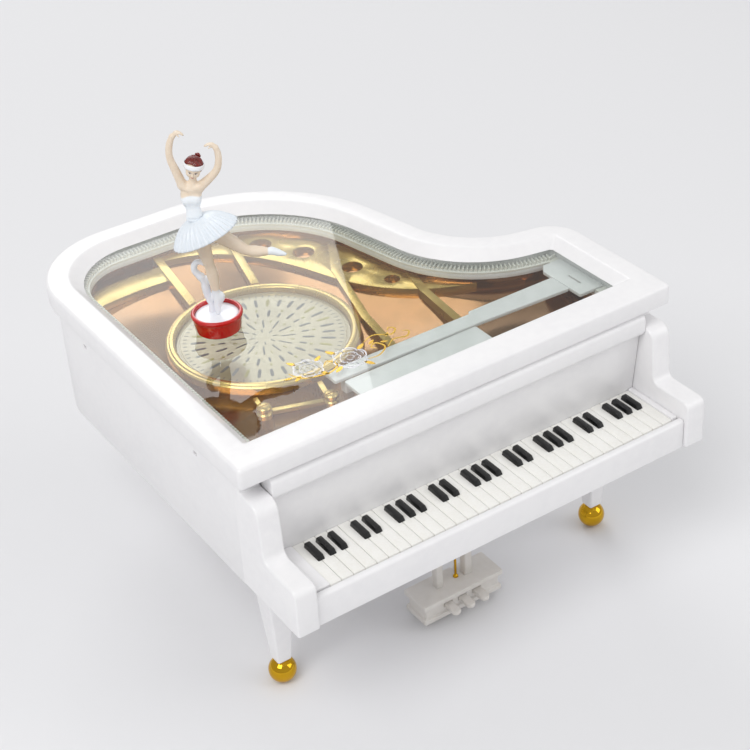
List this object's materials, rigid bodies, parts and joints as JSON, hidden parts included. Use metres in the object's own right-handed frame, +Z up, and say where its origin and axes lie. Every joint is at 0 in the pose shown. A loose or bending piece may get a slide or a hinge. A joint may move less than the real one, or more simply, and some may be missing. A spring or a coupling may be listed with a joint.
{
  "type": "musical grand piano with a circling dancer",
  "caption": "White wind-up music box shaped as a grand piano, with a dancer carried round its clear cover by a turning magnet.",
  "frame": {"origin": "middle of the bounding box, on the surface that the three ball feet stand on", "axes": "+X from the bass to the treble side, +Y from the keyboard to the tail, +Z up"},
  "size_m": [0.17, 0.1836, 0.1786],
  "materials": {
    "case_white": "moulded, satin gloss",
    "lyre_white": "moulded, warm white",
    "rib_white": "moulded ribs",
    "key_white": "ivory white gloss",
    "key_black": "black gloss",
    "clear": "clear acrylic, polished",
    "amber_mirror": "amber mirror foil",
    "gilt": "gilt, vacuum plated plastic",
    "dial_print": "champagne print with grey dashes",
    "ball_gold": "polished gold plating",
    "screw_steel": "zinc plated",
    "zinc": "die cast",
    "comb_steel": "ground",
    "spring_steel": "blued",
    "brass": "turned brass",
    "fly_metal": "stamped",
    "magnet": "nickel plated magnet",
    "gear_nylon": "nylon",
    "stand_red": "red gloss",
    "stand_white": "white gloss",
    "figure_skin": "painted moulding",
    "dress": "pale bluish white",
    "hair_red": "painted dark red-brown",
    "band_white": "painted white"
  },
  "bodies": {
    "case": {"case_shell": "case_white", "base_plate": "case_white", "base_screws": "screw_steel", "keybed": "case_white", "white_keys": "key_white", "black_keys": "key_black", "key_blocks": "case_white", "fallboard": "case_white", "nosing": "case_white", "lid_frame": "case_white", "clear_cover": "clear", "inner_frame": "case_white", "rib_strip": "rib_white", "belly_rail": "case_white", "rail_bracket": "case_white", "shelf_tab": "case_white", "mirror_tray": "amber_mirror", "harp_plate": "gilt", "dial_ring": "gilt", "dial_disc": "dial_print", "gilt_bosses": "gilt", "gilt_bars": "gilt", "leg_bass": "case_white", "leg_treble": "case_white", "leg_tail": "case_white", "foot_bass": "ball_gold", "foot_treble": "ball_gold", "foot_tail": "ball_gold", "leg_screws": "screw_steel", "lyre_posts": "lyre_white", "lyre_rod": "ball_gold", "pedal_box": "lyre_white", "pedals": "lyre_white", "bedplate": "zinc", "top_bridge": "brass", "bearing_plates": "zinc", "comb_block": "screw_steel", "comb": "comb_steel", "comb_screws": "screw_steel", "movement_screws": "screw_steel"},
    "drive": {"barrel": "brass", "mainspring": "spring_steel", "spindle": "screw_steel", "magnet_arm": "fly_metal"},
    "dancer": {"puck_shell": "stand_red", "puck_disc": "stand_white", "puck_magnet": "magnet", "dancer_body": "figure_skin", "tutu": "dress", "hair": "hair_red", "headband": "band_white", "support_curl": "stand_white"},
    "magnet": {"planet_gear": "gear_nylon", "drive_magnet": "magnet"},
    "drum": {"drum": "brass"},
    "governor": {"governor_wheel": "brass"},
    "fly": {"governor_fly": "fly_metal"},
    "key": {"winding_key": "brass", "winding_arbor": "screw_steel"}
  },
  "joints": [
    {"name": "drive_turn", "type": "hinge", "parent": "case", "child": "drive", "pos_m": [-0.0318, 0.00675, 0.0691], "axis": [0, 0, 1], "continuous": true},
    {"name": "dancer_turn", "type": "hinge", "parent": "drive", "child": "dancer", "pos_m": [-0.04751, 0.0084, 0.1044], "axis": [0, 0, 1], "continuous": true},
    {"name": "magnet_turn", "type": "hinge", "parent": "drive", "child": "magnet", "pos_m": [-0.04751, 0.0084, 0.092], "axis": [0, 0, 1], "continuous": true},
    {"name": "drum_turn", "type": "hinge", "parent": "case", "child": "drum", "pos_m": [-0.0177, 0.00675, 0.07544], "axis": [1, 0, 0], "continuous": true},
    {"name": "governor_turn", "type": "hinge", "parent": "case", "child": "governor", "pos_m": [-0.0001, 0.01697, 0.07544], "axis": [1, 0, 0], "continuous": true},
    {"name": "fly_turn", "type": "hinge", "parent": "case", "child": "fly", "pos_m": [0.0044, 0.02358, 0.07544], "axis": [0, 0, 1], "continuous": true},
    {"name": "key_turn", "type": "hinge", "parent": "case", "child": "key", "pos_m": [-0.0318, 0.00675, 0.05], "axis": [0, 0, 1], "continuous": true}
  ],
  "couplings": [
    {"joint": "dancer_turn", "follows": "drive_turn", "ratio": 2},
    {"joint": "magnet_turn", "follows": "drive_turn", "ratio": 2},
    {"joint": "drum_turn", "follows": "drive_turn", "ratio": 1.8},
    {"joint": "governor_turn", "follows": "drive_turn", "ratio": -7.2},
    {"joint": "fly_turn", "follows": "drive_turn", "ratio": 36}
  ]
}
